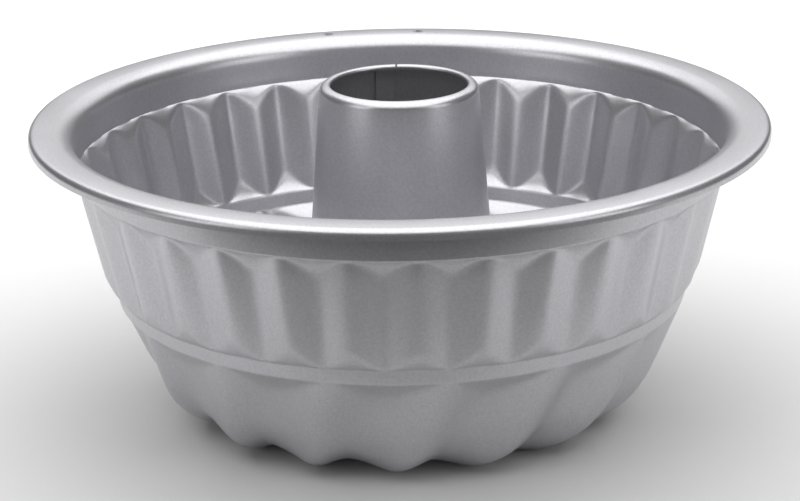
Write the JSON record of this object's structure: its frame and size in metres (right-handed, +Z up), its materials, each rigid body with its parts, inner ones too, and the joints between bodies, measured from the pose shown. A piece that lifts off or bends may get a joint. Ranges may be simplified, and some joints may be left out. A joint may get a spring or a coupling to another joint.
{
  "type": "fluted tube pan",
  "caption": "Deep round cake pan of coated steel sheet with straight flutes over swirled lobes, a flat rim and a conical centre tube, for baking ring-shaped cakes.",
  "frame": {"origin": "on the pan's axis, at the level of the table that the lobes stand on", "axes": "+Z up along the tube's axis, -Y towards the viewer of the picture, +X to the viewer's right"},
  "size_m": [0.22, 0.22, 0.1008],
  "materials": {
    "shell_coating": "satin silver-grey non-stick coating with fine metallic flake",
    "tube_coating": "satin silver-grey non-stick coating with fine metallic flake"
  },
  "bodies": {
    "root": {"pan_shell": "shell_coating", "centre_tube": "tube_coating"}
  },
  "joints": []
}
